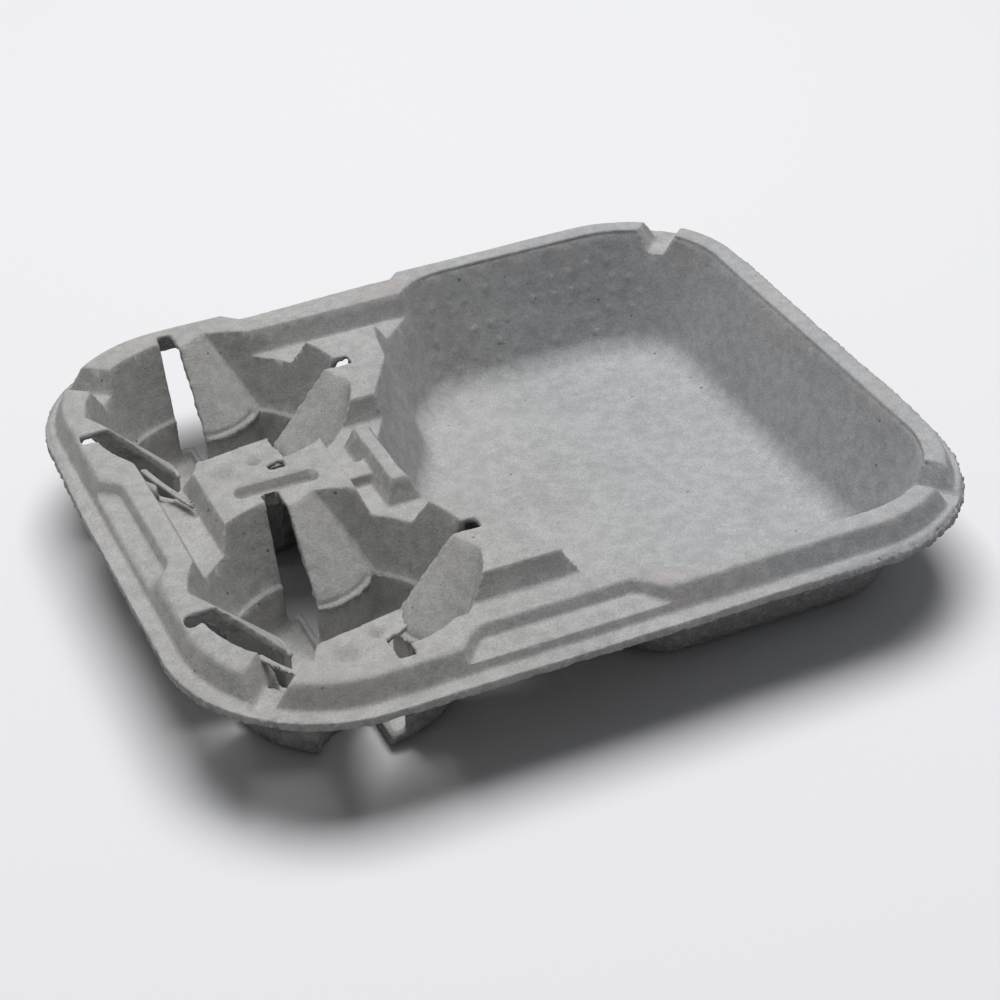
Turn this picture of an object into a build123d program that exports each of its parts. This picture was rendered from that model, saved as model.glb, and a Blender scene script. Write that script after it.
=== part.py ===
"""Carrier tray moulded from paper pulp in one piece: two cup pockets beside a food compartment.

The origin is on the ground under the middle of the flange. X runs from the pockets to the food
compartment, Z is up. Each hollow is drawn once and used twice: as the recess seen from above, and
grown by the pulp's thickness as the body seen from below.
"""
import os
from math import cos, radians, sin, tan

from build123d import *

# Flange, rim and deck
length = 254.0
width = 221.0
corner_radius = 50.0
wall = 2.0
deck_height = 42.0
rim_rise = 6.5
flange_width = 6.0
rim_draft = 23.0
rim_edge_radius = 1.6

# Finger shelves pressed into the rim at the middle of three sides
shelf_drop = 4.0
shelf_depth = 8.0
shelf_corner = 4.0
shelf_ramp = 45.0
side_shelf_length = 46.0
side_shelf_x = -22.0
end_shelf_length = 44.0
end_shelf_depth = 5.5
end_shelf_y = -4.0

# Notches across the rim at the four corners
notch_width = 7.0
notch_side_angle = 62.0
notch_turn = 45.0
far_left_notch_turn = 38.0

# Cup pockets, placed by the pulp left beside and between them
pocket_margin = 13.5
pocket_side = 16.75
pocket_gap = 19.5
mouth_taper = 8.0
ledge_height = 17.0
ledge_step = 1.0
base_taper = 1.5
base_fillet = 3.0

# Gripping fingers, four to a pocket, drawn for the finger on the +Y side of a pocket
# and measured inwards from the pocket's mouth
finger_count = 4
steep_count = 3
slit_width = 5.2
slit_side = -1.0
slit_foot = 5.0
slit_overlap = 0.3
slit_end = 4.0
hinge_reach = 6.5
hinge_fold_x = 8.5
hinge_bulge = 0.2
tongue_reach = 15.0
tongue_fold_x = 17.0
tongue_fold_reach = 12.0
tip_reach = 26.5
tip_fold_x = 20.0
tip_fold_reach = 17.5
tip_bulge = 3.4
tip_lip = 0.8
lobe_depth = 6.0
lobe_flare = 27.0

# Channels in the deck between the pockets, the rim and the food compartment
channel_depth = 8.0
channel_draft = 20.0
channel_start = 26.0
channel_mouth = 28.0
rim_band = 23.0
island_half = 20.0
end_channel_width = 14.5
end_channel_stop = 33.5
bridge_length = 41.0
bridge_groove_length = 27.0
bridge_groove_y = -2.5
bridge_groove_width = 6.5
bridge_groove_depth = 3.5
ridge_half = 16.0
ridge_thickness = 4.0
saddle_width = 8.0
saddle_drop = 4.5

# Food compartment
crest_band = 15.0
food_draft = 17.4
food_floor_fillet = 8.0
island_width = 15.0
island_flare = 3.0
bay_reach = 36.0
mouth_corner = 26.0
island_corner = 24.0
waist_corner = 14.0
bay_corner = 24.0
mouth_overlap = 4.0

# Places that follow from the sizes above
flange_height = deck_height - rim_rise
shelf_height = deck_height - shelf_drop
mouth_radius = (width - 2 * pocket_side - pocket_gap) / 4
ledge_radius = mouth_radius - mouth_taper
base_radius = ledge_radius - ledge_step - base_taper
pocket_x = pocket_margin + mouth_radius - length / 2
pocket_y = pocket_gap / 2 + mouth_radius
island_x = pocket_x + mouth_radius + island_width
bay_x = pocket_x + bay_reach
rim_inner_y = width / 2 - rim_band
floor_top = wall
deck_plane = Plane.XY.offset(deck_height)
pockets = [(pocket_x, pocket_y), (pocket_x, -pocket_y)]
notches = [(1, 1, notch_turn), (1, -1, notch_turn), (-1, -1, notch_turn), (-1, 1, far_left_notch_turn)]


def lean(height, angle):
    """How far a wall of this height moves sideways at this draft angle."""
    return height * tan(radians(angle))


def rounded_outline(inset):
    """The flange's outline moved inwards, added to the sketch being drawn."""
    RectangleRounded(length - 2 * inset, width - 2 * inset, corner_radius - inset)


def shelf_cutter(inset, drop):
    """What is pressed out of the rim at the three shelves: ramps at the ends, wider upwards."""
    crest = flange_width + inset + lean(shelf_height - flange_height, rim_draft)
    side = shelf_depth + crest
    end = end_shelf_depth + crest
    with BuildPart() as cutter:
        with BuildSketch(Plane.XY.offset(shelf_height - drop)) as plan:
            with Locations((side_shelf_x, width / 2 - side / 2)):
                Trapezoid(side_shelf_length + inset + 2 * side, side, shelf_ramp, rotation=180)
            with Locations((side_shelf_x, side / 2 - width / 2)):
                Trapezoid(side_shelf_length + inset + 2 * side, side, shelf_ramp)
            with Locations((end / 2 - length / 2, end_shelf_y)):
                Trapezoid(end_shelf_length + inset + 2 * end, end, shelf_ramp, rotation=-90)
            inner = plan.vertices().filter_by(
                lambda v: abs(v.Y) < width / 2 - wall and v.X > wall - length / 2)
            fillet(inner, shelf_corner)
        extrude(amount=deck_height - shelf_height + wall, taper=-rim_draft)
    return cutter.part


def raised_deck(inset, drop):
    """The deck as a full block with sloping sides, jogged in at the shelves."""
    with BuildPart() as deck:
        with BuildSketch(Plane.XY.offset(flange_height - drop)):
            rounded_outline(flange_width + inset)
        extrude(amount=deck_height - flange_height, taper=rim_draft)
        add(shelf_cutter(inset, drop), mode=Mode.SUBTRACT)
        if inset == 0:
            fillet(deck.faces().sort_by(Axis.Z)[-1].edges(), rim_edge_radius)
    return deck.part


def food_outline():
    """The food compartment's outline at the deck, wavy where it follows the two pockets."""
    far = width / 2 - crest_band
    right = length / 2 - crest_band
    left = [
        (island_x + channel_mouth, far),
        (island_x + island_flare, pocket_y + island_half),
        (island_x, pocket_y),
        (bay_x, ridge_half),
    ]
    ring = left + [(x, -y) for x, y in reversed(left)] + [(right, -far), (right, far)]
    soft = [mouth_corner, island_corner, waist_corner, bay_corner]
    corner = corner_radius - crest_band
    with BuildLine() as outline:
        FilletPolyline(*ring, radius=soft + soft[::-1] + [corner, corner], close=True)
    make_face(outline.edges())


def food_hollow(grow):
    """The food compartment from deck to floor, grown by the pulp's thickness for its outside."""
    with BuildPart() as hollow:
        with BuildSketch(deck_plane):
            food_outline()
            if grow > 0:
                offset(amount=grow)
        extrude(amount=floor_top - grow - deck_height, taper=food_draft)
        fillet(hollow.faces().sort_by(Axis.Z)[0].edges(), food_floor_fillet + grow)
    return hollow.part


def pocket_hollow(grow):
    """One round pocket: a tapered mouth, a narrow ledge and a steeper base."""
    floor = floor_top - grow
    ledge = ledge_height - grow
    with BuildPart() as hollow:
        with BuildSketch(Plane.XZ):
            with BuildLine():
                FilletPolyline(
                    (0, floor), (base_radius + grow, floor), (ledge_radius - ledge_step + grow, ledge),
                    radius=base_fillet + grow,
                )
                Polyline(
                    (ledge_radius - ledge_step + grow, ledge), (ledge_radius + grow, ledge),
                    (mouth_radius + grow, deck_height), (0, deck_height), (0, floor),
                )
            make_face()
        revolve(axis=Axis.Z)
    return hollow.part


def finger_section(free_y, fold_x, fold_y, bulge, inset):
    """A finger's section: a bowed face from its slit side to its fold, open to the outside behind."""
    side = slit_side - (slit_overlap if inset else wall)
    back = mouth_radius + lobe_depth
    mid_x = (side + fold_x) / 2
    mid_y = (free_y + fold_y) / 2
    with BuildLine() as outline:
        face = ThreePointArc(
            (side, free_y + inset),
            (mid_x + bulge / 2, mid_y - bulge + inset),
            (fold_x - inset, fold_y + inset),
        )
        Polyline(face @ 1, (fold_x + lean(back - fold_y, lobe_flare), back), (side, back), face @ 0)
    make_face(outline.edges())


def finger_lobe(inset, hinge_y, fold_x, fold_y):
    """The lobe that a finger is slit from, leaning in from the deck, then upright down to the floor."""
    foot = -wall if inset else 0
    tip_y = mouth_radius - tip_reach
    tip_fold_y = mouth_radius - tip_fold_reach
    with BuildPart() as lobe:
        with BuildSketch(Plane.XY.offset(deck_height - inset)):
            finger_section(hinge_y, fold_x, fold_y, hinge_bulge, inset)
        with BuildSketch(Plane.XY.offset(ledge_height)):
            finger_section(tip_y, tip_fold_x, tip_fold_y, tip_bulge, inset)
        loft(ruled=True)
        with BuildSketch(Plane.XY.offset(ledge_height)):
            finger_section(tip_y + tip_lip, tip_fold_x, tip_fold_y + tip_lip, tip_bulge, inset)
        extrude(amount=foot - ledge_height)
    return lobe.part


def steep_lobe(inset):
    """A finger that leans down from the mouth's edge."""
    fold_y = (mouth_radius ** 2 - hinge_fold_x ** 2) ** 0.5
    return finger_lobe(inset, mouth_radius - hinge_reach, hinge_fold_x, fold_y)


def tongue_lobe(inset):
    """A finger that carries the deck on into the pocket before it leans down."""
    return finger_lobe(inset, mouth_radius - tongue_reach, tongue_fold_x, mouth_radius - tongue_fold_reach)


def slit_cutter():
    """The slit on a finger's free side, with its square end in the deck."""
    inner = mouth_radius - tip_reach - wall
    with BuildPart() as cutter:
        with Locations((slit_side, inner, slit_foot)):
            Box(slit_width, mouth_radius + slit_end - inner, deck_height,
                align=(Align.MAX, Align.MIN, Align.MIN))
    return cutter.part


def channel_hollow(grow):
    """The channels pressed into the deck round the pockets, and the shallow groove on the bridge."""
    rim_side = pocket_y + island_half
    start = pocket_x + mouth_radius - channel_start
    mouth = island_x + channel_mouth
    end_x = pocket_x - bridge_length / 2 - end_channel_width / 2
    bay_start = pocket_x + bridge_length / 2
    bay_end = island_x + mouth_overlap
    ridge_x = bay_x - ridge_thickness
    with BuildPart() as hollow:
        with BuildSketch(deck_plane):
            with Locations(((start + mouth) / 2, (rim_side + rim_inner_y) / 2),
                           ((start + mouth) / 2, -(rim_side + rim_inner_y) / 2)):
                Rectangle(mouth - start, rim_inner_y - rim_side + 2 * grow)
            with Locations((end_x, 0)):
                Rectangle(end_channel_width + 2 * grow, 2 * pocket_y - end_channel_stop)
            with Locations(((bay_start + bay_end) / 2, 0)):
                Rectangle(bay_end - bay_start + 2 * grow, 2 * (pocket_y - island_half) + 2 * grow)
            with Locations((ridge_x + grow, 0)):
                Rectangle(bay_end - ridge_x + wall, 2 * ridge_half - 2 * grow,
                          align=(Align.MIN, Align.CENTER), mode=Mode.SUBTRACT)
        extrude(amount=-channel_depth - grow, taper=channel_draft)
        with Locations(((bay_start + ridge_x) / 2, 0, deck_height - saddle_drop - grow)):
            Box(ridge_x - bay_start + 2 * wall, saddle_width - 2 * grow, channel_depth,
                align=(Align.CENTER, Align.CENTER, Align.MAX), mode=Mode.SUBTRACT)
        with BuildSketch(deck_plane):
            with Locations((pocket_x, bridge_groove_y)):
                SlotOverall(bridge_groove_length + 2 * grow, bridge_groove_width + 2 * grow)
        extrude(amount=-bridge_groove_depth - grow, taper=channel_draft)
    return hollow.part


def notch_hollow(grow):
    """The corner notches: tapered grooves across the rim, level with the flange."""
    corner_x = length / 2 - corner_radius
    corner_y = width / 2 - corner_radius
    rise = deck_height - flange_height + wall
    base = notch_width + 2 * grow
    top = base + 2 * rise / tan(radians(notch_side_angle))
    with BuildPart() as hollow:
        for side_x, side_y, turn in notches:
            out_x = side_x * cos(radians(turn))
            out_y = side_y * sin(radians(turn))
            across = Plane(
                origin=(side_x * corner_x, side_y * corner_y, flange_height - grow),
                x_dir=(-out_y, out_x, 0),
                z_dir=(out_x, out_y, 0),
            )
            with BuildSketch(across):
                Polygon((-base / 2, 0), (base / 2, 0), (top / 2, rise), (-top / 2, rise), align=None)
            extrude(amount=corner_radius + wall)
    return hollow.part


deck_block = raised_deck(0, 0)
deck_hollow = raised_deck(wall, wall)
slit = slit_cutter()

# Each pocket's recess keeps its lobes and is open at their slits, and its outside is dented behind them
with BuildPart() as pocket_recess:
    add(pocket_hollow(0))
    with PolarLocations(0, steep_count, start_angle=-90, angular_range=270):
        add(steep_lobe(0), mode=Mode.SUBTRACT)
    with PolarLocations(0, 1, start_angle=180):
        add(tongue_lobe(0), mode=Mode.SUBTRACT)
    with PolarLocations(0, finger_count):
        add(slit)
with BuildPart() as pocket_body:
    add(pocket_hollow(wall))
    with PolarLocations(0, steep_count, start_angle=-90, angular_range=270):
        add(steep_lobe(wall), mode=Mode.SUBTRACT)
    with PolarLocations(0, 1, start_angle=180):
        add(tongue_lobe(wall), mode=Mode.SUBTRACT)

# Notch walls stop at the outside of the deck, and their floors are level with the flange
with BuildPart() as notch_body:
    add(deck_block)
    with BuildSketch(Plane.XY.offset(flange_height - wall)):
        rounded_outline(flange_width)
    extrude(amount=wall)
    add(notch_hollow(wall), mode=Mode.INTERSECT)

# The bodies round the hollows, as seen from below
with BuildPart() as bodies:
    add(channel_hollow(wall))
    with Locations(*pockets):
        add(pocket_body.part)
food_body = food_hollow(wall)

# The hollows themselves, as seen from above
with BuildPart() as recesses:
    add(food_hollow(0))
    add(channel_hollow(0))
    with Locations(*pockets):
        add(pocket_recess.part)
    add(notch_hollow(0))

# What is open under the deck, between those bodies
with BuildPart() as underside:
    add(deck_hollow)
    add(food_body, mode=Mode.SUBTRACT)
    add(bodies.part, mode=Mode.SUBTRACT)
    add(notch_body.part, mode=Mode.SUBTRACT)

with BuildPart() as carrier:
    add(deck_block)
    with BuildSketch(Plane.XY.offset(flange_height - wall)):
        rounded_outline(0)
    extrude(amount=wall)
    add(underside.part, mode=Mode.SUBTRACT)
    add(food_body)
    add(bodies.part)
    add(recesses.part, mode=Mode.SUBTRACT)

os.makedirs("parts", exist_ok=True)
carrier.part.label = "carrier_tray"
export_step(carrier.part, "parts/carrier_tray.step")
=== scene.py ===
# %% [markdown]
# # A moulded-pulp cup carrier
# The object is one shell of grey paper pulp, about 2 mm thick: two round cup pockets with slit
# fingers on the left, a deep food compartment on the right, and a flange all the way round.
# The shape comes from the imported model, which is loaded first and stays where it is. Everything
# that follows gives that shape the skin, the torn edges and the colour of real pulp.

import bpy
import numpy as np
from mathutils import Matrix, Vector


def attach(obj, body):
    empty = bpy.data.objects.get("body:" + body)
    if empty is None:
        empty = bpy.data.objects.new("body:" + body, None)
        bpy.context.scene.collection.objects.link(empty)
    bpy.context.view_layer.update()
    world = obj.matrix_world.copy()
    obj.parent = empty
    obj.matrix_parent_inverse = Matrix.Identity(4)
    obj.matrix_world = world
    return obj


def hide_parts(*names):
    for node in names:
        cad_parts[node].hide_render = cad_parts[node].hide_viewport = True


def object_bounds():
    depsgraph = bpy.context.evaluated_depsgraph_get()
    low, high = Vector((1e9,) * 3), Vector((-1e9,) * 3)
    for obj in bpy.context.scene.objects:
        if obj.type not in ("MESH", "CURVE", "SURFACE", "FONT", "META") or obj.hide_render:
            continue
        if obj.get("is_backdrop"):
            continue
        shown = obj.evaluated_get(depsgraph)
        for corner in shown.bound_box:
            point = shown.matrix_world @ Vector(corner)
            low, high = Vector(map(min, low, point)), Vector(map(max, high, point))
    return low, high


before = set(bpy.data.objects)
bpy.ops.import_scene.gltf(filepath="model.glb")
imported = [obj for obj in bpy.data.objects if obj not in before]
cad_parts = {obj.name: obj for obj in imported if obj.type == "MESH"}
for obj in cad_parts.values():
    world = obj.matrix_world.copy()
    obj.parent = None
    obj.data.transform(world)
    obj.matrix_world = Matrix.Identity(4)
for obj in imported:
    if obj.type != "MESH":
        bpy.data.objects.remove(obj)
MM = 0.001
cad_low, cad_high = (np.array(corner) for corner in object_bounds())
print("packed model, mm:", np.round((cad_high - cad_low) / MM, 2))

# %% [markdown]
# ## Torn openings
# At each pocket's outer corner the pulp is torn right through, beside the notch on the near side and
# at the end of the channel on the far side. A hole can't be pushed into a skin, so it is cut before
# the skin is made: two prisms, drawn as four-cornered outlines, are taken away with a Boolean.

# %% Cut the torn openings
TEAR_OUTLINES = np.array([
    [[-104.3, -84.1], [-100.1, -88.4], [-93.5, -82.1], [-98.5, -77.2]],
    [[-104.4, 16.8], [-99.6, 13.8], [-93.0, 22.5], [-99.5, 29.5]],
]) * MM
TEAR_BOTTOM = 28.5 * MM
TEAR_TOP = 38.5 * MM
PRISM_FACES = np.array([
    [3, 2, 1, 0], [4, 5, 6, 7],
    [0, 1, 5, 4], [1, 2, 6, 5], [2, 3, 7, 6], [3, 0, 4, 7],
])
MERGE_DISTANCE = 0.01 * MM


def new_piece(name, mesh):
    """Put a mesh into the scene as a piece that sits at the origin."""
    piece = bpy.data.objects.new(name, mesh)
    bpy.context.collection.objects.link(piece)
    return piece


def settle(piece):
    """Replace a piece's mesh by what its modifiers make of it, and take the modifiers off."""
    graph = bpy.context.evaluated_depsgraph_get()
    mesh = bpy.data.meshes.new_from_object(piece.evaluated_get(graph))
    piece.modifiers.clear()
    piece.data = mesh
    return mesh


def prisms(outlines, bottom, top):
    """Closed prisms: each outline of four corners once at the bottom and once at the top."""
    count = len(outlines)
    levels = np.array([bottom, top])[None, :, None, None]
    heights = np.broadcast_to(levels, (count, 2, 4, 1))
    rings = np.broadcast_to(outlines[:, None], (count, 2, 4, 2))
    corners = np.concatenate([rings, heights], axis=3).reshape(-1, 3)
    faces = (PRISM_FACES[None] + 8 * np.arange(count)[:, None, None]).reshape(-1, 4)
    mesh = bpy.data.meshes.new("tear")
    mesh.from_pydata(corners.tolist(), [], faces.tolist())
    return mesh


tray = new_piece("pulp_tray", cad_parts["carrier_tray"].data.copy())
tear = new_piece("tear", prisms(TEAR_OUTLINES, TEAR_BOTTOM, TEAR_TOP))
merge = tray.modifiers.new("merge", "WELD")
merge.merge_threshold = MERGE_DISTANCE
cut = tray.modifiers.new("cut", "BOOLEAN")
cut.operation = "DIFFERENCE"
cut.object = tear
settle(tray)
bpy.data.objects.remove(tear)
print("tray with its openings:", len(tray.data.polygons), "faces")

# %% [markdown]
# ## An even skin
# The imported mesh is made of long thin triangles, which can't carry small lumps. Three ways to get
# even faces: subdivide (the thin triangles stay thin), draw the tray again on a grid (the slits and
# the overhanging lips don't fit on one), or wrap the solid in small voxels and keep their surface.
# The last one keeps the tray's form to a fraction of a millimetre and rounds each edge a little, as
# wet pulp does, so the copy is wrapped and smoothed once.

# %% Wrap the tray in even faces
SKIN_VOXEL = 0.52 * MM
wrap = tray.modifiers.new("wrap", "REMESH")
wrap.mode = "VOXEL"
wrap.voxel_size = SKIN_VOXEL
soften = tray.modifiers.new("soften", "SMOOTH")
soften.factor = 0.5
soften.iterations = 1
settle(tray)
print("even skin:", len(tray.data.vertices), "points")

# %% [markdown]
# ## Reading the skin as arrays
# From here on the skin is a set of numpy arrays: a place and a normal for each point, and the pairs
# of points that share an edge. A mask is a number from 0 to 1 at each point. Two are needed: how far
# a point is on the rough underside, and how sharply the skin turns there, which finds every rim,
# slit and finger tip without listing them.

# %% Points, normals and masks
def read_skin(mesh):
    """Places (n x 3), normals (n x 3) and edges (m x 2) of a mesh."""
    count = len(mesh.vertices)
    places = np.empty(3 * count)
    normals = np.empty(3 * count)
    edges = np.empty(2 * len(mesh.edges), dtype=np.int32)
    mesh.vertices.foreach_get("co", places)
    mesh.vertices.foreach_get("normal", normals)
    mesh.edges.foreach_get("vertices", edges)
    return places.reshape(-1, 3), normals.reshape(-1, 3), edges.reshape(-1, 2)


def neighbour_mean(values, edges):
    """Mean of each point's neighbours: every edge adds the value at one end to the other end."""
    ends = np.concatenate([edges[:, 0], edges[:, 1]])
    others = np.concatenate([edges[:, 1], edges[:, 0]])
    count = np.bincount(ends, minlength=len(values))
    columns = [np.bincount(ends, column[others], len(values)) for column in values.T]
    return np.stack(columns, axis=1) / np.maximum(count, 1)[:, None]


def ease(low, high, value):
    """0 below low, 1 above high, and the curve 3t^2 - 2t^3 between them."""
    t = np.clip((value - low) / (high - low), 0, 1)
    return t * t * (3 - 2 * t)


points, normals, edges = read_skin(tray.data)
hollow = np.sum((neighbour_mean(points, edges) - points) * normals, axis=1)
turn = ease(0.07 * SKIN_VOXEL, 0.2 * SKIN_VOXEL, -hollow)[:, None]
for _ in range(3):
    turn = np.maximum(turn, neighbour_mean(turn, edges))
edge_mask = turn[:, 0]
under_mask = ease(0.0, 0.12, -normals[:, 2])
print("points on sharp edges:", int(np.sum(edge_mask > 0.5)))
print("points on the underside:", int(np.sum(under_mask > 0.5)))

# %% [markdown]
# ## Lumps in the pulp
# Pulp dries with soft lumps a few millimetres wide, finer and sharper on the underside, which never
# touched the mould. A sculpting brush could make them, but not the same way twice. Noise from a
# formula does: a random value sits on each corner of a lattice, and the values are blended between.
# On the underside the noise is folded at zero, which turns its soft hills into wrinkles.

# %% Lattice noise
LATTICE_STEPS = np.array([73856093, 19349663, 83492791], dtype=np.int64)
SEED_STEP = 7919
HASH_FACTOR = np.uint64(2654435761)
HASH_SPAN = np.uint64(0xFFFFFFFF)


def lattice_noise(places, cell, seed):
    """Smooth noise from -1 to 1. Each corner of a lattice of cubes, cell wide, has its own random
    value; inside a cube the eight values are blended along x, y and z with 3t^2 - 2t^3."""
    scaled = places / cell
    cube = np.floor(scaled).astype(np.int64)
    t = scaled - cube
    t = t * t * (3 - 2 * t)
    total = np.zeros(len(places))
    for corner in np.ndindex(2, 2, 2):
        key = ((cube + corner) * LATTICE_STEPS).sum(axis=1) + seed * SEED_STEP
        mixed = (key.astype(np.uint64) * HASH_FACTOR) & HASH_SPAN
        mixed = ((mixed ^ (mixed >> np.uint64(15))) * HASH_FACTOR) & HASH_SPAN
        mixed = mixed ^ (mixed >> np.uint64(13))
        value = (mixed & np.uint64(0xFFFFFF)).astype(float) / 0x7FFFFF - 1
        share = np.prod(np.where(corner, t, 1 - t), axis=1)
        total += share * value
    return total


def layered_noise(places, cell, seed, layers=3):
    """Lattice noise added to itself at half the cell and half the strength, a few times."""
    total = np.zeros(len(places))
    for layer in range(layers):
        total += 0.5 ** layer * lattice_noise(places, cell * 0.5 ** layer, seed + layer)
    return total


SMOOTH_SIDE_LUMP = 0.05 * MM
ROUGH_SIDE_LUMP = 0.6 * MM
WARP = 0.30 * MM
LUMP_CELL = 5 * MM
WRINKLE_CELL = 4 * MM
WRINKLE_STRETCH = np.array([1, 1, 0.7])
WARP_CELL = 34 * MM
smooth_lumps = SMOOTH_SIDE_LUMP * layered_noise(points, LUMP_CELL, 11)
wrinkles = 0.6 - np.abs(layered_noise(points * WRINKLE_STRETCH, WRINKLE_CELL, 21))
rough_lumps = ROUGH_SIDE_LUMP * wrinkles
push = smooth_lumps * (1 - under_mask) + rough_lumps * under_mask
warp = WARP * lattice_noise(points, WARP_CELL, 31)
print("lumps, mm:", np.round(np.ptp(push) / MM, 3))
print("warp, mm:", np.round(np.ptp(warp) / MM, 3))

# %% [markdown]
# ## Torn edges
# Real pulp has no cut edges: the flange ends in a ragged line of fibres, and each finger is torn
# free of the wall. The ragged line is a push along the skin, towards the inside of the tray, so the
# tray never grows. For the flange the direction comes from the outline, a rectangle with round
# corners; for the slits it is the normal itself. Two noises make the flange's edge, a slow wave and
# a fine fray, which is strongest at the corner that was handled most.

# %% Ragged flange and slits
TRAY_HALF = np.array([127.0, 110.5]) * MM
TRAY_CORNER = 50 * MM
FRAY_BAND = 2.2 * MM
FRAY_DEPTH = 0.75 * MM
FRAY_CELL = 1.5 * MM
FRAY_STRETCH = np.array([1, 1, 0.4])
WAVE_CELL = 13 * MM
SLIT_RAGGED = 0.34 * MM
SLIT_CELL = 1.6 * MM


def outline_distance(places):
    """Distance from the tray's outline (negative inside) and the outward direction, in the plane.
    The outline is a rectangle shrunk by the corner radius, then grown again by that radius."""
    sign = np.sign(places[:, :2])
    beyond = np.abs(places[:, :2]) - (TRAY_HALF - TRAY_CORNER)
    reach = np.maximum(beyond, 0)
    length = np.hypot(reach[:, 0], reach[:, 1])
    flat = np.minimum(np.max(beyond, axis=1), 0)
    along = np.where((beyond[:, :1] > beyond[:, 1:]), [1.0, 0.0], [0.0, 1.0])
    outward = np.where(length[:, None] > 0, reach / np.maximum(length, 1e-9)[:, None], along)
    return length + flat - TRAY_CORNER, sign * outward


def lobe(angle, centre, width):
    """A bell curve on the circle of directions, in degrees: exp(-turn^2 / 2 width^2)."""
    turned = (angle - centre + 180) % 360 - 180
    return np.exp(-turned ** 2 / (2 * width ** 2))


rim_distance, rim_outward = outline_distance(points)
bearing = np.degrees(np.arctan2(points[:, 1] / TRAY_HALF[1], points[:, 0] / TRAY_HALF[0]))
worn = np.maximum(lobe(bearing, -40, 16), 0.35 * lobe(bearing, 10, 30))
fray = layered_noise(points * FRAY_STRETCH, FRAY_CELL, 41)
fray = 0.5 + 0.5 * np.clip(1.7 * fray, -1, 1)
wave = 0.5 + 0.5 * lattice_noise(points * [1, 1, 0], WAVE_CELL, 43)
edge_share = ease(-FRAY_BAND, -0.2 * MM, rim_distance)
rim_pull = FRAY_DEPTH * edge_share * ((0.3 + worn) * fray + 0.5 * wave)
slit_pull = SLIT_RAGGED * layered_noise(points, SLIT_CELL, 51, 2)
slit_pull = slit_pull * edge_mask * (edge_share < 0.01)
print("flange frayed by up to", round(float(rim_pull.max() / MM), 2), "mm")

# %% [markdown]
# ## A narrow, tired flange
# Wet pulp slumps before it is dry. The foot of the rim's slope runs out over the flange, which is
# left narrow, its edge gets a burr underneath, and at three places the flange has been bent in and
# down. The slump moves each point outwards and down by a share that is full at the flange's height
# and nothing at the deck, so no fold or gap opens.

# %% Slumped foot, burr and droop
DECK_TOP = 42 * MM
FLANGE_TOP = 35.5 * MM
FLANGE_WIDTH = 6 * MM
FOOT_OUT = 0.5 * MM
FOOT_DROP = 0.7 * MM
EDGE_BURR = 0.6 * MM
FLANGE_TUCK = 2.2 * MM
FLANGE_DROOP = 1.5 * MM
inward = -rim_distance
under_deck = np.clip((DECK_TOP - points[:, 2]) / (DECK_TOP - FLANGE_TOP), 0, 1)
at_rim = under_deck * ease(11.5 * MM, 8.8 * MM, inward)
rim_pull -= FOOT_OUT * at_rim * np.clip(inward / FLANGE_WIDTH, 0, 1)
rim_drop = FOOT_DROP * at_rim + EDGE_BURR * under_mask * ease(2.4 * MM, 0.6 * MM, inward)
tired = np.maximum(lobe(bearing, 135, 20), lobe(bearing, -42, 18))
tired = np.maximum(tired, 0.55 * lobe(bearing, 5, 30))
outer = ease(-FLANGE_WIDTH, 0, rim_distance)
rim_pull += FLANGE_TUCK * tired * outer
rim_drop += FLANGE_DROOP * tired * outer ** 2
print("flange droops by up to", round(float(rim_drop.max() / MM), 2), "mm")

# %% [markdown]
# ## A crease under the crest
# Along the food compartment a thin crease runs just under the crest, where the mould's two halves
# met. It is a bell curve of the height, kept to the compartment's own wall by its distance from the
# outline, and broken up by noise. A groove in the finger faces, just above their tips, is made the
# same way.

# %% Crest crease and finger grooves
CREST_BAND = 15 * MM
CREASE_BELOW = 1.1 * MM
CREASE_WIDTH = 0.35 * MM
CREASE_DEPTH = 0.45 * MM
GROOVE_HEIGHT = 18.5 * MM
GROOVE_WIDTH = 0.55 * MM
GROOVE_DEPTH = 0.5 * MM
FINGER_REACH = 31 * MM
POCKET_MIDDLES = np.array([[-71.5, 51.75], [-71.5, -51.75]]) * MM
crease = np.exp(-((points[:, 2] - DECK_TOP + CREASE_BELOW) / CREASE_WIDTH) ** 2)
crease *= ease(2.2 * MM, 1.2 * MM, np.abs(rim_distance + CREST_BAND))
crease *= ease(0.85, 0.6, np.abs(normals[:, 2])) * ease(5 * MM, 15 * MM, points[:, 0])
crease *= 0.6 + 0.4 * lattice_noise(points, 9 * MM, 61)
from_pocket = np.linalg.norm(points[:, None, :2] - POCKET_MIDDLES, axis=2).min(axis=1)
groove = np.exp(-((points[:, 2] - GROOVE_HEIGHT) / GROOVE_WIDTH) ** 2)
groove *= ease(FINGER_REACH, FINGER_REACH - 2 * MM, from_pocket) * ease(0.15, 0.35, normals[:, 2])
print("points in the crease:", int(np.sum(crease > 0.3)), " in grooves:", int(np.sum(groove > 0.3)))

# %% [markdown]
# ## Sagging notch floors
# Four notches cross the rim at the corners, and their floors have sunk a little. Each notch is a
# straight strip from its corner's centre outwards, so a point's place is split into two numbers,
# how far out it is and how far sideways, and the sag is a product of eased ramps of the two.

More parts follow.
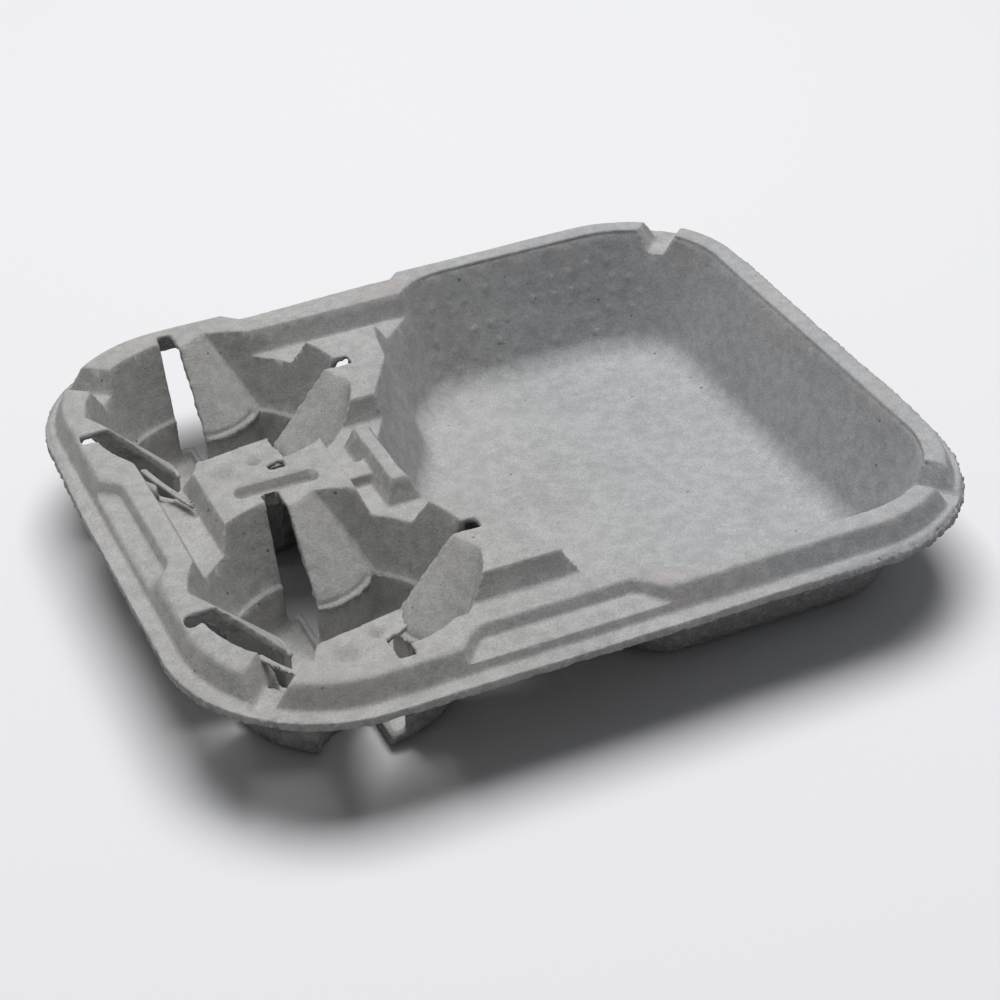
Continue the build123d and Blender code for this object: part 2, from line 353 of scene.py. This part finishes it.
# %% Notch floors
NOTCH_SAG = 1.2 * MM
NOTCH_HALF = 4.2 * MM
NOTCH_TURNS = np.radians([45, 45, 45, 38])
NOTCH_SIDES = np.array([[1, 1], [1, -1], [-1, -1], [-1, 1]])
notch_out = NOTCH_SIDES * np.stack([np.cos(NOTCH_TURNS), np.sin(NOTCH_TURNS)], axis=1)
from_corner = points[:, None, :2] - NOTCH_SIDES * (TRAY_HALF - TRAY_CORNER)
outwards = np.sum(from_corner * notch_out, axis=2)
sideways = np.abs(from_corner[:, :, 0] * notch_out[:, 1] - from_corner[:, :, 1] * notch_out[:, 0])
in_notch = ease(NOTCH_HALF, 0.55 * NOTCH_HALF, sideways) * ease(24 * MM, 30 * MM, outwards)
in_notch = in_notch.max(axis=1) * ease(FLANGE_TOP - 14 * MM, FLANGE_TOP - 1 * MM, points[:, 2])
notch_drop = NOTCH_SAG * in_notch * ease(-0.5 * MM, -5 * MM, rim_distance)
print("notch floors sag by up to", round(float(notch_drop.max() / MM), 2), "mm")

# %% [markdown]
# ## Dimples, pimples and a drooping tongue
# Each tongue between a pocket and the near side has one broad dimple and one small one, and the far
# wall of the food compartment carries rows of pimples where the wet pulp was sucked into the
# mould's holes. Both are sums of bell curves: height times exp(-r^2 / 2s^2), worked out for all
# points and all centres at once. The far pocket's tongue also hangs a little at its tip.

# %% Dimples in the tongues, pimples on the far wall
BROAD_DIMPLES = np.array([[-82.8, -90.1], [-84.5, 10.3]]) * MM
SMALL_DIMPLES = np.array([[-71.6, -84.0], [-73.4, 13.2]]) * MM
BROAD_DEPTH = 2.8 * MM
BROAD_SPREAD = 2.4 * MM
SMALL_DEPTH = 2.8 * MM
SMALL_SPREAD = 1.5 * MM
PIMPLE_HEIGHT = 0.42 * MM
PIMPLE_SPREAD = 0.75 * MM
PIMPLE_COLUMNS = np.arange(2.0, 96.0, 7.5)
PIMPLE_ROWS = np.arange(9.0, 36.0, 5.5)
PIMPLE_JITTER = 1.6
PIMPLE_SHARE = 0.72
TONGUE_DROOP = 1.8 * MM


def bells(flat_places, centres, width):
    """Sum of bell curves round the centres, for places in a plane: exp(-r^2 / (2 width^2))."""
    gap = flat_places[:, None, :] - centres[None, :, :]
    return np.exp(-np.sum(gap ** 2, axis=2) / (2 * width ** 2)).sum(axis=1)


def tongue_dimples(flat_places):
    """Depth of the broad and the small dimples at places in the plane."""
    broad = BROAD_DEPTH * bells(flat_places, BROAD_DIMPLES, BROAD_SPREAD)
    return broad + SMALL_DEPTH * bells(flat_places, SMALL_DIMPLES, SMALL_SPREAD)


dimples = tongue_dimples(points[:, :2])
near_deck = ease(25 * MM, 30 * MM, points[:, 2]) * ease(0.6, 0.9, np.abs(normals[:, 2]))

tongue_x = points[:, 0] - POCKET_MIDDLES[0, 0]
tongue_y = points[:, 1] - POCKET_MIDDLES[0, 1]
on_tongue = ease(-25 * MM, -14 * MM, tongue_x) * ease(3.4 * MM, 2.4 * MM, tongue_x)
on_tongue *= ease(-43 * MM, -27 * MM, tongue_y) * ease(-12 * MM, -16 * MM, tongue_y)
tongue_drop = TONGUE_DROOP * on_tongue * ease(22 * MM, 40 * MM, points[:, 2])

columns, rows = np.meshgrid(PIMPLE_COLUMNS, PIMPLE_ROWS)
jitter = np.random.default_rng(5)
holes = np.stack([columns.ravel(), rows.ravel()], axis=1)
holes = (holes + jitter.uniform(-PIMPLE_JITTER, PIMPLE_JITTER, holes.shape)) * MM
holes = holes[jitter.random(len(holes)) < PIMPLE_SHARE]
far_wall = ease(0.6, 0.85, -normals[:, 1]) * ease(66 * MM, 70 * MM, points[:, 1])
far_wall *= ease(0.02, 0.1, normals[:, 2])
on_wall = np.flatnonzero(far_wall > 0.01)
pimples = np.zeros(len(points))
pimples[on_wall] = PIMPLE_HEIGHT * bells(points[on_wall][:, [0, 2]], holes, PIMPLE_SPREAD)
print("pimples on the far wall:", len(holes), " points that carry them:", len(on_wall))

# %% [markdown]
# ## Putting the pushes together
# All pushes are added in one step. The crest at the pockets' outer corner is then worn round: each
# point there moves towards the mean of its neighbours, many times over. The result is kept inside
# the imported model's box and thinned to a weight that is easy to share; flat places lose most faces.

# %% Move the skin, wear the crest round and thin it
TRIANGLE_BUDGET = 190000
CREST_INWARD = 8.8 * MM
WEAR_STEPS = 40
WEAR_SHARE = 0.6
down = dimples * near_deck + rim_drop + notch_drop + tongue_drop
along_normal = push + warp * (1 - edge_mask) + slit_pull + pimples * far_wall
along_normal -= CREASE_DEPTH * crease + GROOVE_DEPTH * groove
moved = points + normals * along_normal[:, None]
moved[:, :2] -= rim_outward * rim_pull[:, None]
moved[:, 2] -= down

wear = ease(4.5 * MM, 2 * MM, np.abs(inward - CREST_INWARD))
wear *= ease(36 * MM, 39 * MM, points[:, 2])
wear *= lobe(bearing, -165, 17)
worn_points = np.flatnonzero(wear > 0.01)
new_number = np.full(len(points), -1)
new_number[worn_points] = np.arange(len(worn_points))
worn_edges = new_number[edges]
worn_edges = worn_edges[np.all(worn_edges >= 0, axis=1)]
worn_places = moved[worn_points]
for _ in range(WEAR_STEPS):
    to_mean = neighbour_mean(worn_places, worn_edges) - worn_places
    worn_places += WEAR_SHARE * wear[worn_points, None] * to_mean
moved[worn_points] = worn_places
tray.data.vertices.foreach_set("co", np.clip(moved, cad_low, cad_high).ravel())
tray.data.update()

thin = tray.modifiers.new("thin", "DECIMATE")
thin.ratio = TRIANGLE_BUDGET / (2 * len(tray.data.polygons))
thin.use_collapse_triangulate = True
settle(tray)
print("finished tray:", len(tray.data.polygons), "triangles")

# %% [markdown]
# ## A mask for the rough side
# The underside is rougher than the moulded side and gets a painted shade that darkens it, and the
# material has to know which is which. The direction of the normal could be read in the shader, but
# bump would disturb it, so the mask is worked out once more for the thinned skin and stored on its
# points.

# %% Store the rough side
def store_rough_shaded_side(piece, share):
    """Keep a number from 0 (moulded side) to 1 (rough side, which also gets the painted shade) on
    each point of a piece.
    """
    mask = piece.data.attributes.new("rough_shaded_side", "FLOAT", "POINT")
    mask.data.foreach_set("value", share.astype(np.float32))


thin_points, thin_normals, _ = read_skin(tray.data)
tray.data.vertices.foreach_set("co", np.clip(thin_points, cad_low, cad_high).ravel())
tray.data.update()
# the mask says where the underside's wrinkles and its painted shade go
store_rough_shaded_side(tray, ease(0.0, 0.15, -thin_normals[:, 2]))
tray.data.shade_smooth()
tray.name = tray.data.name = "pulp_tray"
print("rough points:", int(np.sum(thin_normals[:, 2] < -0.1)), "of", len(thin_points))

# %% [markdown]
# ## Torn flaps
# When the fingers were torn free, the tongues kept a ragged flap beside their slits, a web of pulp
# stayed in the far tongue's slit, and narrow strips were left hanging across the torn openings.
# They could be sculpted out of the skin, but they are separate sheets, so each is a grid: a
# four-cornered patch, blended between its corners, with noise that tears two of its edges. Solidify
# gives it thickness.

# %% Flaps beside the tongues and strips across the openings
FLAP_THICKNESS = 1.7 * MM
FLAP_TEAR = 0.07
STRIP_THICKNESS = 1.0 * MM
STRIP_TEAR = 0.22
STRIP_SAG = 0.6 * MM
GRID = 30
TEAR_SPAN = 9
TEAR_CELL = 1.7
SHEET_APART = 40.0
FLAP_CORNERS = np.array([
    [[-74.5, -79.4, 41.0], [-62.2, -77.2, 41.0], [-64.0, -86.0, 41.0], [-74.5, -89.6, 41.0]],
    [[-74.5, 24.2, 39.2], [-64.8, 25.2, 39.2], [-65.0, 9.4, 40.9], [-74.5, 8.0, 41.0]],
    [[-71.2, 9.4, 40.3], [-64.5, 10.0, 40.3], [-64.5, 17.6, 16.5], [-71.2, 16.9, 16.5]],
    [[-71.2, 17.8, 17.6], [-64.5, 18.6, 17.6], [-64.5, 20.0, 3.0], [-71.2, 19.2, 3.0]],
]) * MM
STRIP_CORNERS = np.array([
    [[-102.9, -76.8, 39.4], [-95.4, -89.8, 39.4], [-97.1, -90.8, 40.3], [-104.6, -77.8, 40.3]],
    [[-103.6, 26.2, 39.4], [-95.5, 6.8, 36.6], [-97.2, 6.1, 37.4], [-105.3, 25.5, 40.3]],
]) * MM


def torn_patches(corners, tear, sag, seed):
    """Sheets between four corners A, B, C, D: (1-u)(1-v)A + u(1-v)B + uvC + (1-u)vD. The edges at
    u = 1 and v = 1 are torn: u and v are stretched by 1 + tear x noise. The sheet hangs by
    sag x 4u(1-u) and is dented where the tongues are."""
    u, v = np.meshgrid(np.linspace(0, 1, GRID), np.linspace(0, 1, GRID), indexing="ij")
    number = np.arange(len(corners))[:, None, None] + np.zeros_like(u)
    none = np.zeros_like(number)
    along = np.stack([u * TEAR_SPAN + none, SHEET_APART * number, seed + none], axis=-1)
    across = np.stack([v * TEAR_SPAN + none, SHEET_APART * number, 7 + seed + none], axis=-1)
    u_noise = layered_noise(across.reshape(-1, 3), TEAR_CELL, seed).reshape(number.shape)
    v_noise = layered_noise(along.reshape(-1, 3), TEAR_CELL, seed + 5).reshape(number.shape)
    u_torn = u * (1 + tear * u_noise)
    v_torn = v * (1 + tear * v_noise)
    a, b, c, d = (corners[:, None, None, k, :] for k in range(4))
    s, t = u_torn[..., None], v_torn[..., None]
    sheet = (1 - s) * (1 - t) * a + s * (1 - t) * b + s * t * c + (1 - s) * t * d
    sheet[..., 2] -= sag * 4 * u * (1 - u)
    sheet[..., 2] -= tongue_dimples(sheet[..., :2].reshape(-1, 2)).reshape(number.shape)
    return sheet


def sheet_faces(count):
    """Corner numbers of the faces of several grids, one grid after the other, seen from above."""
    start = np.arange(GRID * GRID).reshape(GRID, GRID)
    rounds = [start[:-1, :-1], start[:-1, 1:], start[1:, 1:], start[1:, :-1]]
    quads = np.stack(rounds, axis=-1).reshape(-1, 4)
    return (quads[None] + GRID * GRID * np.arange(count)[:, None, None]).reshape(-1, 4)


def torn_piece(name, sheets, thickness):
    """Put sheets into one mesh and give them thickness on both sides."""
    mesh = bpy.data.meshes.new(name)
    mesh.from_pydata(sheets.reshape(-1, 3).tolist(), [], sheet_faces(len(sheets)).tolist())
    piece = new_piece(name, mesh)
    body = piece.modifiers.new("thickness", "SOLIDIFY")
    body.thickness = thickness
    body.offset = 0
    settle(piece)
    places, _, _ = read_skin(piece.data)
    piece.data.vertices.foreach_set("co", np.clip(places, cad_low, cad_high).ravel())
    piece.data.update()
    piece.data.shade_smooth()
    piece.name = piece.data.name = name
    store_rough_shaded_side(piece, np.zeros(len(places)))
    return piece


flap_sheets = torn_patches(FLAP_CORNERS, FLAP_TEAR, 0.0, 3)
strip_sheets = torn_patches(STRIP_CORNERS, STRIP_TEAR, STRIP_SAG, 14)
flaps = torn_piece("torn_flaps", flap_sheets, FLAP_THICKNESS)
strips = torn_piece("torn_strips", strip_sheets, STRIP_THICKNESS)
print("flaps and strips:", len(flaps.data.polygons) + len(strips.data.polygons), "faces")

# %% [markdown]
# ## Grey pulp
# The finish is matt and grey, mottled at several scales, with dark specks and a faint pink from old
# print. All of it is made from noise on Object coordinates, in metres, so it keeps its real scale.
# An image would need seams and unwrapping. The mottling is a node group, so that every piece of
# pulp uses the same one. First come a few helpers that add and join nodes.

# %% Node helpers
def add_node(tree, kind, **settings):
    """Add a node to a tree; each keyword sets one of its properties."""
    node = tree.nodes.new(kind)
    for name, value in settings.items():
        setattr(node, name, value)
    return node


def feed(tree, socket, value):
    """Give a socket its input: a link where the value is a socket, else a plain value."""
    if isinstance(value, bpy.types.NodeSocket):
        tree.links.new(value, socket)
    else:
        socket.default_value = value


def mix_colours(tree, factor, first, second):
    """Blend two colours; each input is a socket or a plain value. In the Mix node sockets 6 and 7
    are the two colours and output 2 is the blended one."""
    node = add_node(tree, "ShaderNodeMix", data_type="RGBA")
    feed(tree, node.inputs[0], factor)
    feed(tree, node.inputs[6], first)
    feed(tree, node.inputs[7], second)
    return node.outputs[2]


def spread(tree, value, low, high, to_low=0.0, to_high=1.0):
    """Map a value from one range to another, eased at both ends and clamped."""
    node = add_node(tree, "ShaderNodeMapRange", interpolation_type="SMOOTHSTEP")
    for socket, number in zip(node.inputs[1:5], (low, high, to_low, to_high)):
        socket.default_value = number
    tree.links.new(value, node.inputs[0])
    return node.outputs[0]


def noise(tree, vector, scale, detail=3.0, rough=0.55):
    """Noise with a scale in lumps per metre, as one number."""
    node = add_node(tree, "ShaderNodeTexNoise")
    node.inputs["Scale"].default_value = scale
    node.inputs["Detail"].default_value = detail
    node.inputs["Roughness"].default_value = rough
    tree.links.new(vector, node.inputs["Vector"])
    return node.outputs["Fac"]


def combine(tree, kind, first, second):
    """One arithmetic step on two numbers; each is a socket or a plain value."""
    node = add_node(tree, "ShaderNodeMath", operation=kind)
    feed(tree, node.inputs[0], first)
    feed(tree, node.inputs[1], second)
    return node.outputs[0]


print("node helpers ready")

# %% [markdown]
# ## The mottling group
# Three noises shade the grey: fibres of half a millimetre, clouds of four, and broad drifts. Each
# cell of a Voronoi pattern may hold one speck, and the cell's random colour picks which do. The
# rough side adds a folded noise to the height, for its wrinkles, and gets a painted shade: its
# colour is darkened by up to 28 percent, mottled by the same folded noise.

# %% Mottling, specks and relief
SPECK_GREY = (0.10, 0.10, 0.095, 1)
OLD_PRINT = (0.478, 0.412, 0.392, 1)
FIBRE_SCALE = 1500
CLOUD_SCALE = 240
DRIFT_SCALE = 22
FOLD_SCALE = 420
SPECK_CELLS = 300
BLOTCH_SCALE = 34
FLECK_SCALE = 420


def mottling_group():
    """Pulp colour and height: a grey that shifts at three scales, dark specks, faint pink, and a
    painted shade that darkens the rough side.
    """
    tree = bpy.data.node_groups.new("pulp_mottling", "ShaderNodeTree")
    face = tree.interface
    face.new_socket("Vector", in_out="INPUT", socket_type="NodeSocketVector")
    face.new_socket("Pulp", in_out="INPUT", socket_type="NodeSocketColor")
    face.new_socket("Specks", in_out="INPUT", socket_type="NodeSocketFloat")
    face.new_socket("Pink", in_out="INPUT", socket_type="NodeSocketFloat")
    face.new_socket("Rough", in_out="INPUT", socket_type="NodeSocketFloat")
    face.new_socket("Color", in_out="OUTPUT", socket_type="NodeSocketColor")
    face.new_socket("Height", in_out="OUTPUT", socket_type="NodeSocketFloat")
    inside = add_node(tree, "NodeGroupInput")
    outside = add_node(tree, "NodeGroupOutput")
    vector = inside.outputs["Vector"]
    # Rough is the rough side's mask: it drives the wrinkles in the height and the painted shade in
    # the colour
    rough = inside.outputs["Rough"]

    fine = noise(tree, vector, FIBRE_SCALE, 4, 0.65)
    middle = noise(tree, vector, CLOUD_SCALE, 3)
    broad = noise(tree, vector, DRIFT_SCALE, 2)
    shade = combine(tree, "MULTIPLY", spread(tree, fine, 0.25, 0.75, 0.82, 1.18),
                    spread(tree, middle, 0.3, 0.7, 0.91, 1.09))
    shade = combine(tree, "MULTIPLY", shade, spread(tree, broad, 0.35, 0.65, 0.965, 1.035))
    folded = combine(tree, "SUBTRACT", noise(tree, vector, FOLD_SCALE, 4, 0.65), 0.5)
    folded = combine(tree, "ABSOLUTE", folded, 0.0)
    # painted shade: on the rough side the colour is scaled between 0.72 and 1.04 by the folded noise,
    # so it is darker on average
    underside_painted_shade = combine(tree, "SUBTRACT", spread(tree, folded, 0.0, 0.16, 0.72, 1.04), 1.0)
    underside_painted_shade = combine(tree, "ADD", combine(tree, "MULTIPLY", underside_painted_shade, rough), 1.0)
    shade = combine(tree, "MULTIPLY", shade, underside_painted_shade)
    grey = add_node(tree, "ShaderNodeVectorMath", operation="SCALE")
    tree.links.new(inside.outputs["Pulp"], grey.inputs[0])
    tree.links.new(shade, grey.inputs["Scale"])

    cells = add_node(tree, "ShaderNodeTexVoronoi")
    cells.inputs["Scale"].default_value = SPECK_CELLS
    tree.links.new(vector, cells.inputs["Vector"])
    pick = add_node(tree, "ShaderNodeSeparateColor")
    tree.links.new(cells.outputs["Color"], pick.inputs[0])
    size = spread(tree, pick.outputs[0], 0.90, 1.0, 0.0, 0.17)
    speck = combine(tree, "LESS_THAN", cells.outputs["Distance"], size)
    speck = combine(tree, "MULTIPLY", speck, inside.outputs["Specks"])
    colour = mix_colours(tree, speck, grey.outputs[0], SPECK_GREY)

    blotch = spread(tree, noise(tree, vector, BLOTCH_SCALE, 2), 0.48, 0.70)
    flecks = spread(tree, noise(tree, vector, FLECK_SCALE, 4, 0.6), 0.40, 0.68)
    pink = combine(tree, "MULTIPLY", blotch, flecks)
    pink = combine(tree, "MULTIPLY", pink, inside.outputs["Pink"])
    colour = mix_colours(tree, pink, colour, OLD_PRINT)
    tree.links.new(colour, outside.inputs["Color"])

    fine_height = combine(tree, "MULTIPLY", fine, 0.5)
    middle_height = combine(tree, "MULTIPLY", middle, 1.2)
    height = combine(tree, "ADD", fine_height, middle_height)
    ridges = combine(tree, "MULTIPLY", combine(tree, "MULTIPLY", folded, 10.0), rough)
    tree.links.new(combine(tree, "ADD", height, ridges), outside.inputs["Height"])
    return tree


mottling = mottling_group()
print("node group:", mottling.name, len(mottling.nodes), "nodes")

# %% [markdown]
# ## The pulp material
# The group's colour goes to a rough, hardly shiny Principled shader. The grey is a touch warmer at
# the pockets and cooler at the food compartment, and the pink only shows near the deck. Both are
# ramps along an axis of the Object coordinates. One material dresses all pieces.

# %% Dress the tray, the flaps and the strips
WARM_GREY = (0.436, 0.431, 0.420, 1)
COOL_GREY = (0.447, 0.450, 0.457, 1)
ROUGHNESS = 0.93
SHINE = 0.22
RELIEF_STRENGTH = 0.6
RELIEF_DEPTH = 0.4 * MM
SPECK_STRENGTH = 0.7
PINK_STRENGTH = 0.8


def pulp_material(name):
    """Matt pulp: the group's colour and height on a rough, hardly shiny surface."""
    material = bpy.data.materials.new(name)
    material.use_nodes = True
    tree = material.node_tree
    shader = tree.nodes["Principled BSDF"]
    shader.inputs["Roughness"].default_value = ROUGHNESS
    shader.inputs["Specular IOR Level"].default_value = SHINE
    where = add_node(tree, "ShaderNodeTexCoord").outputs["Object"]
    # the rough side's mask drives its wrinkles and its painted shade
    side = add_node(tree, "ShaderNodeAttribute", attribute_name="rough_shaded_side").outputs["Fac"]
    axes = add_node(tree, "ShaderNodeSeparateXYZ")
    tree.links.new(where, axes.inputs[0])
    group = add_node(tree, "ShaderNodeGroup", node_tree=mottling)
    group.inputs["Specks"].default_value = SPECK_STRENGTH
    along = spread(tree, axes.outputs["X"], -100 * MM, 80 * MM)
    feed(tree, group.inputs["Vector"], where)
    feed(tree, group.inputs["Pulp"], mix_colours(tree, along, WARM_GREY, COOL_GREY))
    pink = spread(tree, axes.outputs["Z"], 29 * MM, 40 * MM, 0.0, PINK_STRENGTH)
    feed(tree, group.inputs["Pink"], pink)
    feed(tree, group.inputs["Rough"], side)
    tree.links.new(group.outputs["Color"], shader.inputs["Base Color"])
    relief = add_node(tree, "ShaderNodeBump")
    relief.inputs["Strength"].default_value = RELIEF_STRENGTH
    relief.inputs["Distance"].default_value = RELIEF_DEPTH
    tree.links.new(group.outputs["Height"], relief.inputs["Height"])
    tree.links.new(relief.outputs["Normal"], shader.inputs["Normal"])
    return material


grey_pulp = pulp_material("grey_pulp")
for piece in (tray, flaps, strips):
    piece.data.materials.clear()
    piece.data.materials.append(grey_pulp)
    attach(piece, "root")
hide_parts("carrier_tray")
print("pieces dressed in", grey_pulp.name)

# %% [markdown]
# ## Table
# The tray lies on a pale table. Paint that pale would throw so much light back up that the tray's
# outside would lose its shade, so the camera sees the pale paint while bounced light meets a darker
# one. The Light Path node tells the two apart.

# %% Pale table
TABLE_HALF = 6.0
TABLE_DROP = 0.2 * MM
TABLE_PALE = (0.90, 0.90, 0.915, 1)
TABLE_BOUNCE = (0.55, 0.55, 0.56, 1)
TABLE_ROUGHNESS = 0.8
TABLE_SHINE = 0.2


def flat_square(name, half, z):
    """One square face at height z, from -half to half in x and y."""
    mesh = bpy.data.meshes.new(name)
    corners = np.array([[-1, -1], [1, -1], [1, 1], [-1, 1]]) * half
    mesh.from_pydata(np.c_[corners, np.full(4, z)].tolist(), [], [(0, 1, 2, 3)])
    return new_piece(name, mesh)


table = flat_square("pale_table", TABLE_HALF, -TABLE_DROP)
table_paint = bpy.data.materials.new("table_paint")
table_paint.use_nodes = True
table_tree = table_paint.node_tree
paint = table_tree.nodes["Principled BSDF"]
paint.inputs["Roughness"].default_value = TABLE_ROUGHNESS
paint.inputs["Specular IOR Level"].default_value = TABLE_SHINE
ray = add_node(table_tree, "ShaderNodeLightPath")
shown = ray.outputs["Is Camera Ray"]
for kind in ("Is Glossy Ray", "Is Transmission Ray"):
    shown = combine(table_tree, "MAXIMUM", shown, ray.outputs[kind])
table_colour = mix_colours(table_tree, shown, TABLE_BOUNCE, TABLE_PALE)
feed(table_tree, paint.inputs["Base Color"], table_colour)
table.data.materials.append(table_paint)
table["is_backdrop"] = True
print("table made, half a side is", TABLE_HALF, "m")

# %% [markdown]
# ## Light
# One broad lamp hangs above and a little behind, and a weak even sky fills the shadows: walls stay
# dark and flat places bright. A larger lamp would blur the shadows' edges away, and a smaller one
# would cut them sharp.

# %% Lamp and sky
SKY_COLOUR = (0.96, 0.98, 1.0, 1)
SKY_STRENGTH = 0.12
LAMP_PLACE = (0.109, 0.401, 1.956)
LAMP_SIZE = 1.4
LAMP_POWER = 39.0

scene = bpy.context.scene
scene.view_settings.view_transform = "Standard"
sky = bpy.data.worlds.new("even_sky")
scene.world = sky
sky.use_nodes = True
sky.node_tree.nodes["Background"].inputs[0].default_value = SKY_COLOUR
sky.node_tree.nodes["Background"].inputs[1].default_value = SKY_STRENGTH
lamp = bpy.data.lights.new("broad_lamp", "AREA")
lamp.energy = LAMP_POWER
lamp.size = LAMP_SIZE
lamp_object = bpy.data.objects.new("broad_lamp", lamp)
lamp_object.location = LAMP_PLACE
lamp_object.rotation_euler = (-lamp_object.location).to_track_quat("-Z", "Y").to_euler()
bpy.context.collection.objects.link(lamp_object)
print("lamp:", lamp.energy, "W")

# %% [markdown]
# ## Camera
# The camera's place, turn and lens were fitted to the tray's rim, notches and pockets in a square
# frame. A long lens from the near left keeps the far side only a little smaller than the near one.

# %% Camera
CAMERA_PLACE = (-0.24536, -0.58906, 0.44700)
CAMERA_TURN = np.radians([55.684, 2.125, -24.220])
CAMERA_LENS = 87.876
CAMERA_SENSOR = 36.0
camera = bpy.data.cameras.new("camera")
camera.lens = CAMERA_LENS
camera.sensor_width = CAMERA_SENSOR
camera.clip_start = 0.01
camera_object = bpy.data.objects.new("camera", camera)
camera_object.location = CAMERA_PLACE
camera_object.rotation_euler = CAMERA_TURN
bpy.context.collection.objects.link(camera_object)
scene.camera = camera_object
print("camera at", CAMERA_PLACE)
